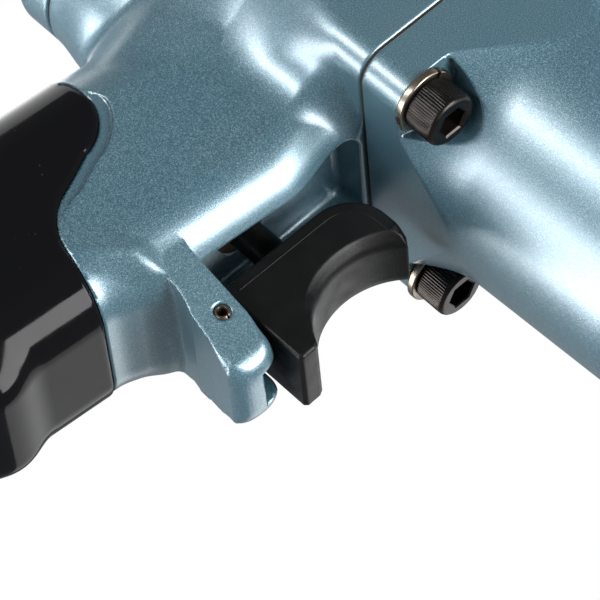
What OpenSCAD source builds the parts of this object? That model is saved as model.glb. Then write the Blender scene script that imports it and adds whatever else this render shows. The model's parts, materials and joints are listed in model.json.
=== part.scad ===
/* [Drive] */
// Width across the flats of the square drive
drive_af = 12.7; // [9.5:0.1:14]
// Length of the square drive in front of its shoulder
drive_len = 17; // [14:0.5:20]
// Radius of the anvil shank in its bush
shank_r = 9.8; // [9:0.1:10.2]

/* [Hammer case] */
// Length from the joint face to the end of the nose
case_len = 76; // [74:0.5:78]
// Half the width of the square flange
flange_half = 30.2; // [30:0.1:31]
// Thickness of the flange
flange_t = 8.5; // [8:0.1:10]
// Radius of the round body behind the shoulder
case_r = 30.6; // [30:0.1:31]
// Radius of the cavity that the hammers turn in
case_bore_r = 27.2; // [27:0.1:27.6]
// Half the distance between neighbouring case screws
screw_pitch = 25; // [24.8:0.1:25.2]

/* [Motor housing] */
// Length from the joint face to the rear face
housing_len = 62.6; // [62:0.1:63]
// Radius of the motor bore
motor_r = 24; // [23.8:0.1:24.2]
// Radius of the upper round of the rear face
rear_r = 31; // [30.8:0.1:31.4]
// Radius of the lower round of the rear face
lobe_r = 17; // [16:0.5:18]
// Depth of the lower round's centre under the drive axis
lobe_drop = 30; // [29:0.5:31]

/* [Handle] */
// Backward lean of the handle in degrees
lean = 5; // [3:0.5:8]
// Half the depth of the handle, front to back
handle_depth = 24; // [23.5:0.1:24.5]
// Half the width of the handle
handle_half = 18; // [17.5:0.1:18.5]
// Length of the handle under its reference point
handle_len = 97; // [94:1:100]
// Thickness of the grip sleeve
sleeve_t = 3; // [2.5:0.1:3.2]

/* [Trigger] */
// Travel of the trigger
trigger_travel = 4.5; // [4:0.1:5]
// Half the width of the trigger
trigger_half = 7.5; // [7:0.1:8]
// Radius of the finger hollow
finger_r = 15.3; // [15:0.1:16]
// Height of the trigger stem under the drive axis
stem_drop = 53; // [52:0.5:54]

/* [Rear end] */
// Depth of the back cap
cap_t = 13; // [12.5:0.5:14]
// Depth of the reverse valve under the drive axis
valve_drop = 36; // [35.5:0.5:36.5]

/* [Hidden] */
$fn = 64;

// The origin lies on the drive axis, in the plane of the square drive's shoulder.
nose_gap = 4;
joint_x = -(case_len + nose_gap);

// Drive train, measured forward from the joint face
shaft_r = 5;
pin_orbit = 20.4;
pin_r = 3.2;
latch_r = pin_r + 0.4;
latch_play = 2.95;
hammer_r = 22.4;
hammer_bore_r = 14.6;
hammer_len = 15.3;
plate_t = 5.8;
cage_r = 26;
cage_x = 7;
hammer_x = cage_x + plate_t + 0.5;
hammer_pitch = hammer_len + 0.6;
front_plate_x = hammer_x + hammer_pitch + hammer_len + 0.4;
case_wall_x = 52.8;
collar_r = 14.5;
pilot_r = 7.5;
bush_r = 13;
run_gap = 0.05;

// Air motor, measured back from the joint face
end_plate_t = 9;
front_wall = 8;
liner_len = 36;
liner_x = -(front_wall + end_plate_t + liner_len);
rotor_r = 17.2;
liner_bore_r = 19.8;
liner_shift = 2.2;
vane_count = 6;
bearing_r = 13;
bearing_t = 8;
dowel_orbit = 20.8;

// Screws
m6_r = 3;
m6_head_r = 5;
m6_head = 6;
m4_r = 2;
m4_head_r = 3.5;
m4_head = 4;
washer_t = 1.6;
gasket_t = 0.5;
pocket_orbit = 37.5;
pocket_r = 9.2;
pocket_len = 11;
cap_screw_at = [[19.5, 19.5], [-19.5, 19.5], [12.5, -33.5], [-12.5, -33.5]];

// Rear end
cap_x = -(housing_len + gasket_t);
cap_back_x = cap_x - cap_t;
valve_r = 7;
valve_len = 38;
knob_r = 9;
knob_t = 11;

// Handle frame: its reference point and the pieces along its own axis
handle_at = [-24, -60];
sleeve_end = -90;
front_round = 10;
back_round = 17;
chamber_r = 8.5;
tilt_bore_r = 7;
tilt_stem_top = 9;
seat_top = -7;
seat_t = 3;
valve_head_r = 7;
seat_gap = 0.3;
spring_top = seat_top - seat_t - seat_gap - 4.3;
spring_len = 15;
inlet_r = 8.4;
inlet_hex = 22;
thread_bore_r = 5.9;
deflector_r = 17.4;
deflector_t = 9;
exhaust_side = 10.9;
exhaust_back = -9;
exhaust_r = 3.2;

// Trigger, guard and recess, measured from the joint face
trigger_back = 3.8;
trigger_top = -37;
trigger_foot = -66.5;
finger_at = [13.6 + finger_r, -48.5];
pin_at = [9, -70.6];
roll_pin_r = 1.5;
guard_top = -67.4;
guard_low = -76;
guard_tip = 19.8;
slot_half = 4.7;
recess_half = 10.5;
recess_x = -7;
stem_r = 3;
stem_end = -20.9;

// Placement helpers

module from_joint() {
    translate([joint_x, 0, 0]) children();
}

// The handle's own frame, for use inside from_joint()
module local_handle() {
    translate([handle_at[0], 0, handle_at[1]]) rotate([0, lean, 0]) children();
}

module handle_frame() {
    from_joint() local_handle() children();
}

// A flat shape in (y, z) drawn out along x
module along_x(x0, x1) {
    translate([x0, 0, 0]) rotate([90, 0, 90]) linear_extrude(x1 - x0) children();
}

// A flat shape in (x, z) drawn out across y
module across_y(half) {
    translate([0, half, 0]) rotate([90, 0, 0]) linear_extrude(2 * half) children();
}

module rod_x(x0, x1, r, y = 0, z = 0) {
    translate([x0, y, z]) rotate([0, 90, 0]) cylinder(r = r, h = x1 - x0);
}

module rod_z(z0, z1, r, x = 0, y = 0) {
    translate([x, y, z0]) cylinder(r = r, h = z1 - z0);
}

// A profile in (radius, x) turned about the drive axis
module turned_x(profile) {
    rotate([0, 90, 0]) rotate_extrude() polygon(profile);
}

module ring_x(x0, x1, r_out, r_in) {
    turned_x([[r_in, x0], [r_out, x0], [r_out, x1], [r_in, x1]]);
}

module four_corners(at = screw_pitch) {
    for (sy = [-1, 1], sz = [-1, 1]) translate([0, sy * at, sz * at]) children();
}

// Flat outlines

module rounded_square(half, r) {
    for (sy = [-1, 1], sz = [-1, 1]) translate([sy * (half - r), sz * (half - r)]) circle(r);
    square([2 * half, 2 * (half - r)], center = true);
    square([2 * (half - r), 2 * half], center = true);
}

// Two rounds joined by their common tangents, in (y, z)
module pear(r_top, r_low, drop) {
    slope = asin((r_low - r_top) / drop);
    side = [cos(slope), sin(slope)];
    circle(r_top);
    translate([0, -drop]) circle(r_low);
    polygon([
        r_top * side, [r_low * side[0], r_low * side[1] - drop],
        [-r_low * side[0], r_low * side[1] - drop], [-r_top * side[0], r_top * side[1]]
    ]);
}

// Section of the handle in its own frame, with +x at the front
module handle_section(inset = 0) {
    x = handle_depth - inset;
    y = handle_half - inset;
    rf = front_round - inset;
    rb = back_round - inset;
    for (s = [-1, 1]) {
        translate([x - rf, s * (y - rf)]) circle(rf);
        translate([rb - x, s * (y - rb)]) circle(rb);
    }
    polygon([
        [rb - x, -y], [x - rf, -y], [x, rf - y], [x, y - rf],
        [x - rf, y], [rb - x, y], [-x, y - rb], [-x, rb - y]
    ]);
}

function arc_points(c, r, a0, a1, n = 8) =
    [for (i = [0:n]) let (a = a0 + (a1 - a0) * i / n) [c[0] + r * cos(a), c[1] + r * sin(a)]];

function wedge(a0, a1, r) = concat([[0, 0]], arc_points([0, 0], r, a0, a1, 4));

// Everything above the S-shaped top edge of the grip, in (x, z) from the joint face
module above_grip(drop = 0) {
    translate([0, -drop]) polygon(concat(
        [[-70, -30], [-70, -56.5], [-50, -58.6]],
        arc_points([-36, -70], 10, 84, 10),
        arc_points([-11, -70.3], 13, 205, 258),
        [[-2.3, -86.4], [12, -88.5], [40, -88.5], [40, -30]]
    ));
}

// Coil spring along z, swept as an octagonal wire
function coil_ring(r, wire_r, rise, a) = [for (k = [0:5])
    let (rr = r + wire_r * cos(60 * k)) [rr * cos(a), rr * sin(a), rise + wire_r * sin(60 * k)]];

module coil(r, wire_r, length, turns, per_turn = 16) {
    n = turns * per_turn;
    points = [for (i = [0:n]) each coil_ring(r, wire_r, (length - 2 * wire_r) * i / n + wire_r, 360 * i / per_turn)];
    sides = [for (i = [0:n - 1], k = [0:5])
        let (a = 6 * i + k, b = 6 * i + (k + 1) % 6) [a, a + 6, b + 6, b]];
    caps = [[for (k = [0:5]) k], [for (k = [5:-1:0]) 6 * n + k]];
    polyhedron(points, concat(sides, caps), convexity = 10);
}

module socket_screw(length, r, head_r, head, key) {
    difference() {
        union() {
            rod_x(0, head, head_r);
            rod_x(-length, 0, r);
        }
        translate([head / 2, 0, 0]) rotate([0, 90, 0]) cylinder(r = key / sqrt(3), h = head, $fn = 6);
    }
}

// Motor housing

module barrel() {
    hull() {
        along_x(-10, -gasket_t) rounded_square(flange_half, 5.3, $fn = 32);
        along_x(-housing_len, -46) pear(rear_r, lobe_r, lobe_drop, $fn = 48);
    }
}

// Flared root that carries the handle under the barrel
module handle_root() {
    hull() {
        translate([-44, -26, -24]) cube([40, 52, 2]);
        local_handle() translate([0, 0, 7]) linear_extrude(1) handle_section(0.4, $fn = 32);
    }
}

module guard_side() {
    tip_r = (guard_top - guard_low) / 2;
    polygon(concat(
        [[-16, guard_top], [15.3, guard_top]],
        arc_points([15.3, guard_top - tip_r], tip_r, 90, -90),
        arc_points([4.6, guard_low - 16], 16, 90, 146),
        [[-16, -91]]
    ));
}

module guard_plan() {
    polygon([
        [-16, -19.9], [-10, -17.8], [9, -11.1], [16, -8.6], [18.6, -6.6], [guard_tip, -4.4],
        [guard_tip, 4.4], [18.6, 6.6], [16, 8.6], [9, 11.1], [-10, 17.8], [-16, 19.9]
    ]);
}

module guard() {
    intersection() {
        across_y(20) guard_side();
        translate([0, 0, -90]) linear_extrude(30) guard_plan();
    }
}

module grip_core() {
    translate([0, 0, sleeve_end]) linear_extrude(115) handle_section(sleeve_t);
}

module housing_solid() {
    barrel();
    handle_root();
    intersection() {
        union() {
            guard();
            local_handle() translate([0, 0, -30]) linear_extrude(52) handle_section();
        }
        across_y(20) above_grip();
    }
    local_handle() grip_core();
    local_handle() translate([0, 0, -handle_len]) linear_extrude(handle_len + sleeve_end) handle_section();
}

module trigger_recess() {
    translate([recess_x, -recess_half, guard_top]) cube([20, 2 * recess_half, -33 - guard_top]);
    translate([-3, -slot_half, guard_low + 3]) cube([30, 2 * slot_half, 20]);
    rod_x(recess_x - 9, recess_x + 1, stem_r + 2, 0, -stem_drop);
    rod_x(-24, recess_x - 8, stem_r + 0.6, 0, -stem_drop);
}

module motor_passages() {
    rod_x(-housing_len - 1, -front_wall, motor_r);
    rod_x(-front_wall - 1, 0, 14);
    rod_x(-housing_len - 1, -housing_len + valve_len + 2, valve_r + run_gap, 0, -valve_drop);
    for (s = [-1, 1]) translate([-38, 5 * s, -33]) cylinder(r = 2.2, h = 12);
    four_corners() rod_x(-18, 1, m6_r);
    for (p = cap_screw_at) translate([0, p[0], p[1]]) rod_x(-housing_len - 1, -housing_len + 14, m4_r);
    rod_z(-valve_drop - 20, -valve_drop, 2, -50);
}

module handle_passages() {
    rod_z(-handle_len - 1, -handle_len + 14, inlet_r);
    rod_z(-handle_len, seat_top - seat_t - 26, 6);
    rod_z(seat_top - seat_t - 28, seat_top, chamber_r + 1);
    rod_z(seat_top - 1, 24, tilt_bore_r, -tilt_bore_r + 5);
    for (s = [-1, 1]) rod_z(-handle_len - 1, 40, exhaust_r, exhaust_back, s * exhaust_side);
}

module motor_housing() color("steelblue") from_joint() {
    difference() {
        housing_solid();
        trigger_recess();
        motor_passages();
        local_handle() handle_passages();
        translate([pin_at[0], 20, pin_at[1]]) rotate([90, 0, 0]) cylinder(r = roll_pin_r, h = 40);
    }
}

// Hammer case, its bush and its screws

// Round body with a 45 degree cone behind the flange, and its nose
module case_body() {
    turned_x([
        [0, 0], [42, 0], [42, flange_t], [case_r + 4, flange_t + 0.3], [case_r + 1.5, flange_t + 2.8],
        [case_r + 0.7, flange_t + 4.7], [case_r + 0.4, flange_t + 7], [case_r, flange_t + 15],
        [case_r - 1, 42], [case_r - 1.8, 55], [case_r - 3.4, 59], [case_r - 6.6, 62.5],
        [20.5, 65.2], [18.2, 67.5], [17.2, 70.5], [17, case_len - 1], [16, case_len], [0, case_len]
    ]);
}

// Scoops that clear the screw heads
module screw_pockets() {
    for (a = [45:90:315]) rotate([a, 0, 0]) rod_x(flange_t, flange_t + pocket_len, pocket_r, pocket_orbit);
}

module hammer_case() color("steelblue") from_joint() {
    difference() {
        intersection() {
            case_body();
            along_x(0, case_len + 1) rounded_square(flange_half, 5.3);
        }
        rod_x(-1, case_wall_x, case_bore_r);
        rod_x(case_wall_x - 1, case_len + 1, bush_r);
        four_corners() rod_x(-1, flange_t + 1, m6_r + 0.3);
        screw_pockets();
    }
}

module front_bush() color("darkgoldenrod") from_joint() {
    ring_x(case_wall_x, case_len - 1.5, bush_r, shank_r + run_gap);
}

module case_screws() color("dimgray") from_joint() {
    four_corners() translate([flange_t + washer_t, 0, 0])
        socket_screw(flange_t + washer_t + 16, m6_r, m6_head_r, m6_head, 5);
}

// Split spring washers under the case screws
module spring_washers() color("darkgray") from_joint() {
    four_corners() difference() {
        ring_x(flange_t, flange_t + washer_t, 5.9, m6_r + 0.2);
        rotate([35, 0, 0]) translate([flange_t - 1, 2, -0.4]) cube([4, 5, 0.8]);
    }
}

module front_gasket() color("saddlebrown") from_joint() {
    along_x(-gasket_t, 0) difference() {
        rounded_square(flange_half - 0.4, 5);
        circle(case_bore_r);
        for (sy = [-1, 1], sz = [-1, 1]) translate([sy * screw_pitch, sz * screw_pitch]) circle(m6_r + 0.3);
    }
}

// Anvil with its pilot, two lobes, collar, shank and square

module lobe(x, a) {
    along_x(x, x + hammer_len) intersection() {
        circle(12.2);
        polygon(wedge(a - 30, a + 30, 20));
    }
}

module anvil() color("gray") from_joint() {
    square_x = case_len + nose_gap;
    difference() {
        union() {
            rod_x(cage_x + 2.5, hammer_x, pilot_r);
            rod_x(hammer_x - 0.2, front_plate_x, 8.6);
            lobe(hammer_x, -90);
            lobe(hammer_x + hammer_pitch, 90);
            rod_x(front_plate_x, case_wall_x - 0.4, collar_r);
            rod_x(case_wall_x - 1, case_len, shank_r);
            turned_x([[0, case_len - 1], [shank_r, case_len - 1], [shank_r, case_len + 1.5],
                [shank_r - 1.4, square_x], [0, square_x]]);
            intersection() {
                along_x(square_x - 1, square_x + drive_len) square(drive_af, center = true);
                turned_x([[0, 0], [8.5, 0], [8.5, square_x + drive_len - 1.4],
                    [7.1, square_x + drive_len], [0, square_x + drive_len]]);
            }
        }
        ring_x(square_x + 9.4, square_x + 12.6, 12, 5.2);
    }
}

module friction_ring() color("silver") from_joint() {
    x = case_len + nose_gap + 9.7;
    difference() {
        ring_x(x, x + 2.6, 7.5, 6.1);
        translate([x - 1, -0.6, 5]) cube([5, 1.2, 5]);
    }
}

module friction_ring_cushion() color("black") from_joint() {
    x = case_len + nose_gap + 9.9;
    ring_x(x, x + 2.2, 6.1, 5.2);
}

// Twin hammers, rocking on pins that stand in the cage

// Section of a hammer whose pivot pin is on the +y side
module hammer_section() {
    difference() {
        circle(hammer_r);
        difference() {
            circle(hammer_bore_r);
            intersection() {
                polygon(wedge(66, 114, 30));
                difference() {
                    circle(20);
                    circle(11);
                }
            }
        }
        translate([pin_orbit, 0]) circle(pin_r + run_gap);
        for (s = [-1, 1]) translate([-pin_orbit, latch_play * s]) circle(latch_r);
        translate([-pin_orbit - 6, -latch_play]) square([6 + latch_r, 2 * latch_play]);
        translate([-pin_orbit - 6, -latch_play - latch_r]) square([6, 2 * (latch_play + latch_r)]);
    }
}

module rear_hammer() color("gray") from_joint() {
    along_x(hammer_x, hammer_x + hammer_len) hammer_section();
}

module front_hammer() color("gray") from_joint() {
    along_x(hammer_x + hammer_pitch, hammer_x + hammer_pitch + hammer_len)
        rotate(180) hammer_section();
}

module hammer_cage() color("slategray") from_joint() {
    difference() {
        union() {
            rod_x(cage_x, cage_x + plate_t, cage_r);
            rod_x(1, cage_x + 1, 9.5);
            rod_x(front_plate_x, front_plate_x + plate_t, cage_r);
            for (a = [0, 180]) along_x(cage_x, front_plate_x + plate_t) intersection() {
                difference() {
                    circle(cage_r);
                    circle(24);
                }
                polygon(wedge(a - 25, a + 25, 40));
            }
        }
        rod_x(cage_x + 2, cage_x + plate_t + 1, pilot_r + run_gap);
        rod_x(front_plate_x - 1, front_plate_x + plate_t + 1, collar_r + run_gap);
        rotate([0, 90, 0]) cylinder(r = shaft_r - 0.05, h = cage_x, $fn = 6);
        for (s = [-1, 1]) rod_x(cage_x + 1, front_plate_x + plate_t - 1, pin_r, s * pin_orbit, 0);
    }
}

module hammer_pins() color("silver") from_joint() {
    for (s = [-1, 1]) rod_x(cage_x + 1, front_plate_x + plate_t - 1, pin_r, s * pin_orbit, 0);
}

// Air motor

module end_plate(x, pocket_x) {
    difference() {
        rod_x(x, x + end_plate_t, motor_r - 0.05);
        rod_x(x - 1, x + end_plate_t + 1, shaft_r + 1);
        rod_x(pocket_x, pocket_x + bearing_t, bearing_r);
        rod_x(x - 1, x + end_plate_t + 1, 1.5, 0, dowel_orbit);
    }
}

module front_end_plate() color("lightgray") from_joint() {
    end_plate(-front_wall - end_plate_t, -front_wall - bearing_t);
}

module rear_end_plate() color("lightgray") from_joint() {
    difference() {
        end_plate(liner_x - end_plate_t, liner_x - end_plate_t);
        for (s = [-1, 1]) rod_x(liner_x - 10, liner_x + 1, 2, 8 * s, -17.5);
    }
}

// Ball bearing: two rings and a row of balls, drawn as one assembly
module ball_bearing(x) {
    difference() {
        ring_x(x, x + bearing_t, bearing_r, shaft_r + run_gap);
        ring_x(x - 1, x + 1, 10.6, 7.4);
        ring_x(x + bearing_t - 1, x + bearing_t + 1, 10.6, 7.4);
    }
}

module front_bearing() color("silver") from_joint() {
    ball_bearing(-front_wall - bearing_t);
}

module rear_bearing() color("silver") from_joint() {
    ball_bearing(liner_x - end_plate_t);
}

module cylinder_liner() color("lightgray") from_joint() {
    difference() {
        rod_x(liner_x, liner_x + liner_len, motor_r - 0.05);
        rod_x(liner_x - 1, liner_x + liner_len + 1, liner_bore_r, 0, -liner_shift);
        rod_x(liner_x - 1, liner_x + liner_len + 1, 1.5, 0, dowel_orbit);
        for (x = [8, 16, 24], s = [-1, 1])
            translate([liner_x + x, s * 11.7 - 2, -30]) cube([4, 4, 16]);
    }
}

module liner_dowel() color("silver") from_joint() {
    rod_x(liner_x - end_plate_t + 1, -front_wall - 1, 1.5, 0, dowel_orbit);
}

module vane_blades(x0, x1, r0, r1, t) {
    for (i = [0:vane_count - 1])
        rotate([60 * i, 0, 0]) translate([x0, -t / 2, r0]) cube([x1 - x0, t, r1 - r0]);
}

module rotor() color("gray") from_joint() {
    difference() {
        union() {
            rod_x(liner_x + 0.3, liner_x + liner_len - 0.3, rotor_r);
            rod_x(liner_x - end_plate_t + 0.6, -front_wall + 0.2, shaft_r);
            translate([-front_wall, 0, 0]) rotate([0, 90, 0])
                cylinder(r = shaft_r - 0.05, h = front_wall + cage_x - 0.5, $fn = 6);
        }
        vane_blades(liner_x - 1, liner_x + liner_len + 1, 9, 20, 2.4);
    }
}

module rotor_vanes() color("peru") from_joint() {
    vane_blades(liner_x + 0.4, liner_x + liner_len - 0.4, 9.6, rotor_r - 0.2, 2.3);
}

// Rear end: cap, gasket, screws, reverse valve and knob

module cap_holes() {
    for (p = cap_screw_at) translate([0, p[0], p[1]]) rod_x(cap_back_x - 1, cap_x + 1, m4_r + 0.2);
}

module back_cap() color("steelblue") from_joint() {
    difference() {
        hull() {
            along_x(cap_back_x + 4, cap_x) pear(rear_r, lobe_r, lobe_drop, $fn = 48);
            along_x(cap_back_x, cap_x) pear(rear_r - 4, lobe_r - 4, lobe_drop, $fn = 48);
        }
        rod_x(cap_x - 2, cap_x + 1, 14);
        rod_x(cap_back_x - 1, cap_x + 1, 4 + run_gap, 0, -valve_drop);
        cap_holes();
        for (p = cap_screw_at)
            translate([0, p[0], p[1]]) rod_x(cap_back_x - 1, cap_back_x + 5, m4_head_r + 0.4);
        rod_x(cap_back_x - 1, cap_back_x + 7, 1.6, 0, 6 - valve_drop);
    }
}

module rear_gasket() color("saddlebrown") from_joint() {
    along_x(-housing_len - gasket_t, -housing_len) difference() {
        pear(rear_r - 0.5, lobe_r - 0.5, lobe_drop);
        circle(motor_r);
        translate([0, -valve_drop]) circle(valve_r + 0.1);
        for (p = cap_screw_at) translate(p) circle(m4_r + 0.2);
    }
}

module cap_screws() color("dimgray") from_joint() {
    for (p = cap_screw_at) translate([cap_back_x + 5, p[0], p[1]]) mirror([1, 0, 0])
        socket_screw(cap_t - 5 + gasket_t + 12, m4_r, m4_head_r, m4_head, 3);
}

module reverse_valve() color("silver") from_joint() {
    difference() {
        union() {
            rod_x(-housing_len + 0.4, -housing_len + valve_len, valve_r, 0, -valve_drop);
            rod_x(cap_back_x - 6, -housing_len + 1, 4, 0, -valve_drop);
        }
        rod_x(-housing_len + 16, -housing_len + valve_len + 1, 4, 0, -valve_drop);
        for (a = [-40, 40]) translate([-38, 0, -valve_drop]) rotate([a, 0, 0]) cylinder(r = 2.2, h = 10);
        translate([-38, 0, -valve_drop - 10]) cylinder(r = 3, h = 10);
        rod_x(cap_back_x - 8, cap_back_x + 5, 1.5, 0, -valve_drop);
    }
}

module reverse_knob() color("black") from_joint() {
    x1 = cap_back_x - 0.4;
    difference() {
        union() {
            rod_x(x1 - 5, x1, knob_r, 0, -valve_drop);
            along_x(x1 - knob_t, x1 - 3) translate([0, -valve_drop]) {
                circle(5.2);
                polygon([[-5.2, 0], [5.2, 0], [3, 10], [-3, 10]]);
                translate([0, 10]) circle(3);
            }
        }
        rod_x(x1 - 6, x1 + 1, 4, 0, -valve_drop);
        rod_x(x1 - 20, x1, 1.7, 0, -valve_drop);
        rod_x(x1 - knob_t - 1, x1 - knob_t + 2.2, 3.2, 0, -valve_drop);
    }
}

module knob_screw() color("dimgray") from_joint() {
    translate([cap_back_x - 0.4 - knob_t + 2.2, 0, -valve_drop]) mirror([1, 0, 0])
        socket_screw(12, 1.5, 2.75, 2.1, 2.5);
}

module detent_ball() color("silver") from_joint() {
    translate([cap_back_x + 1.3, 0, 6 - valve_drop]) sphere(1.5);
}

module detent_spring() color("silver") from_joint() {
    translate([cap_back_x + 2.9, 0, 6 - valve_drop]) rotate([0, 90, 0]) coil(1.1, 0.25, 4, 4);
}

// Trigger group and throttle valve

module trigger_side() {
    polygon(concat(
        [[trigger_back, trigger_foot], [trigger_back, -45]],
        arc_points([trigger_back + 8, -45], 8, 180, 90, 6),
        [[16.6, trigger_top], [17.8, trigger_top - 0.8]],
        arc_points(finger_at, finger_r, 137, 245, 14),
        [[22.9, -63.2], [23, trigger_foot + 0.6], [22.4, trigger_foot]]
    ));
}

module trigger() color("black") from_joint() {
    difference() {
        union() {
            across_y(trigger_half) trigger_side();
            translate([pin_at[0] - 3.8, -slot_half + 0.5, pin_at[1] - 2.2])
                cube([8.8, 2 * slot_half - 1, trigger_foot - pin_at[1] + 3]);
        }
        rod_x(trigger_back - 1, trigger_back + 5, stem_r, 0, -stem_drop);
        translate([pin_at[0] - 1.9, -10, pin_at[1] - 1.8]) cube([trigger_travel + 3.8, 20, 3.6]);
    }
}

module trigger_stem() color("black") from_joint() {
    rod_x(stem_end, trigger_back + 5, stem_r, 0, -stem_drop);
}

module trigger_bush() color("darkgoldenrod") from_joint() {
    difference() {
        rod_x(recess_x - 9, recess_x, stem_r + 2, 0, -stem_drop);
        rod_x(recess_x - 10, recess_x + 1, stem_r + run_gap, 0, -stem_drop);
        rod_x(recess_x - 6, recess_x - 4, stem_r + 1.2, 0, -stem_drop);
    }
}

module stem_seal() color("black") from_joint() {
    difference() {
        rod_x(recess_x - 5.9, recess_x - 4.1, stem_r + 1.2, 0, -stem_drop);
        rod_x(recess_x - 7, recess_x - 3, stem_r + run_gap, 0, -stem_drop);
    }
}

// Hollow roll pin across the guard
module trigger_pin() color("silver") from_joint() {
    translate([pin_at[0], 11.1, pin_at[1]]) rotate([90, 0, 0]) difference() {
        cylinder(r = roll_pin_r, h = 22.2);
        translate([0, 0, -1]) cylinder(r = 0.85, h = 25);
        translate([0, -0.2, -1]) cube([3, 0.4, 25]);
    }
}

module throttle_valve() color("silver") handle_frame() {
    top = seat_top - seat_t - seat_gap;
    rod_z(top - 2.5, top, valve_head_r);
    rod_z(top - 4, top, 3);
    rod_z(top - 1, tilt_stem_top, 1.8);
}

module valve_seat() color("darkgoldenrod") handle_frame() {
    difference() {
        rod_z(seat_top - seat_t, seat_top, chamber_r + 1);
        rod_z(seat_top - seat_t - 1, seat_top + 1, 5);
    }
}

module throttle_spring() color("silver") handle_frame() {
    translate([0, 0, spring_top - spring_len]) coil(4.6, 0.5, spring_len, 6);
}

// Grip sleeve and the bottom of the handle

module sleeve_ridges() {
    for (z = [-46, -66, -86]) translate([handle_depth - 3.6, 0, z]) rotate([90, 0, 0])
        cylinder(r = 6, h = 2 * (handle_half - 6), center = true);
}

module grip_sleeve() color("black") from_joint() {
    difference() {
        local_handle() {
            translate([0, 0, sleeve_end]) linear_extrude(100) handle_section();
            sleeve_ridges();
        }
        across_y(30) above_grip();
        local_handle() translate([0, 0, sleeve_end - 4]) linear_extrude(120) handle_section(sleeve_t);
        local_handle() translate([-40, -40, sleeve_end - 20]) cube([80, 80, 20]);
        translate([-80, -40, -40]) cube([120, 80, 60]);
    }
}

module inlet_bushing() color("silver") handle_frame() {
    low = -handle_len - deflector_t - 0.8;
    difference() {
        union() {
            rod_z(low, -handle_len + 12, inlet_r);
            rod_z(low - 1.2, low, 13);
            translate([0, 0, low - 7.2]) cylinder(r = inlet_hex / sqrt(3), h = 6, $fn = 6);
        }
        rod_z(low - 8, low + 8, thread_bore_r);
        rod_z(low, -handle_len + 13, 5);
    }
}

module inlet_strainer() color("goldenrod") handle_frame() {
    difference() {
        rod_z(-handle_len + 2, -handle_len + 12, 5);
        rod_z(-handle_len + 3, -handle_len + 13, 4.4);
    }
}

module exhaust_deflector() color("black") handle_frame() {
    top = -handle_len - 0.4;
    difference() {
        rod_z(top - deflector_t, top, deflector_r);
        rod_z(top - deflector_t - 1, top + 1, inlet_r + run_gap);
        difference() {
            rod_z(top - deflector_t + 2, top + 1, deflector_r - 2);
            rod_z(top - deflector_t, top + 2, inlet_r + 2);
        }
        for (a = [-50:20:50]) rotate(a + 180)
            translate([deflector_r - 5, -1.6, top - deflector_t + 3.2]) cube([10, 3.2, 3.6]);
    }
}

module deflector_seal() color("black") handle_frame() {
    difference() {
        rod_z(-handle_len - 0.4, -handle_len, inlet_r + 2);
        rod_z(-handle_len - 1, -handle_len + 1, inlet_r);
    }
}

module exhaust_silencer() color("wheat") handle_frame() {
    for (s = [-1, 1]) rod_z(-handle_len + 1, -handle_len + 30, exhaust_r - 0.1, exhaust_back, s * exhaust_side);
}

motor_housing();
hammer_case();
back_cap();
front_gasket();
rear_gasket();
case_screws();
spring_washers();
cap_screws();
front_bush();
anvil();
friction_ring();
friction_ring_cushion();
rear_hammer();
front_hammer();
hammer_cage();
hammer_pins();
front_end_plate();
rear_end_plate();
front_bearing();
rear_bearing();
cylinder_liner();
liner_dowel();
rotor();
rotor_vanes();
reverse_valve();
reverse_knob();
knob_screw();
detent_ball();
detent_spring();
trigger();
trigger_stem();
trigger_bush();
stem_seal();
trigger_pin();
throttle_valve();
valve_seat();
throttle_spring();
grip_sleeve();
inlet_bushing();
inlet_strainer();
exhaust_deflector();
deflector_seal();
exhaust_silencer();
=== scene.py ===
"""Looks of a pistol-grip air impact wrench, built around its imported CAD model.

Castings and mouldings are implicit solids: each has a field function that is negative inside,
and contour() meshes its zero surface. Fields work in millimetres from the joint face, where the
hammer case meets the motor housing: x forward along the drive axis, y to the left, z up.
"""

import json
import math

import bmesh
import bpy
import numpy as np
from mathutils import Matrix, Vector


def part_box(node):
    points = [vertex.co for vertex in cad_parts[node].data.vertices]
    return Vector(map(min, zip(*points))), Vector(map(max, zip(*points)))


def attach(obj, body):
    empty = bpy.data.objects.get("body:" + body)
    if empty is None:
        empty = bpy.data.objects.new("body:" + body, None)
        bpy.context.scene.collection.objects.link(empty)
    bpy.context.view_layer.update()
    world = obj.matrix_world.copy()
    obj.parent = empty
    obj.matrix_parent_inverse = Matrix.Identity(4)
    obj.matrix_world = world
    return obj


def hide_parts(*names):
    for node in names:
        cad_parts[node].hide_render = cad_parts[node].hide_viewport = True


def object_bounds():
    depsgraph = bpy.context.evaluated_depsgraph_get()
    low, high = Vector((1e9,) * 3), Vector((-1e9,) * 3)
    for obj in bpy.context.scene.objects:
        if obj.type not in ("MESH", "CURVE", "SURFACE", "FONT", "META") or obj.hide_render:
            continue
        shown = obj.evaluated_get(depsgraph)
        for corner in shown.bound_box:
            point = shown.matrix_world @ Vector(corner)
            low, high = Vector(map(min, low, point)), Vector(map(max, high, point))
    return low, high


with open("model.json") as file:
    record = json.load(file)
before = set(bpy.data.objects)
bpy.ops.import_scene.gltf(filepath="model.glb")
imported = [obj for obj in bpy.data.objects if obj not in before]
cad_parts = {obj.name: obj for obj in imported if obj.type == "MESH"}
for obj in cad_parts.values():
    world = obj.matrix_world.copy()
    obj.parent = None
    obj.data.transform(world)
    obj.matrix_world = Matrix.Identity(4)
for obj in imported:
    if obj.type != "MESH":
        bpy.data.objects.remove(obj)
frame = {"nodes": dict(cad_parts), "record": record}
CAD_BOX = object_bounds()
NODES = frame["nodes"]
MM = 0.001
JOINT_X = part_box("hammer_case")[0].x

# ---------------------------------------------------------------------------------------------
# Driving dimensions, in millimetres: the CAD model's, but for a few that follow the looks
# ---------------------------------------------------------------------------------------------

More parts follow.
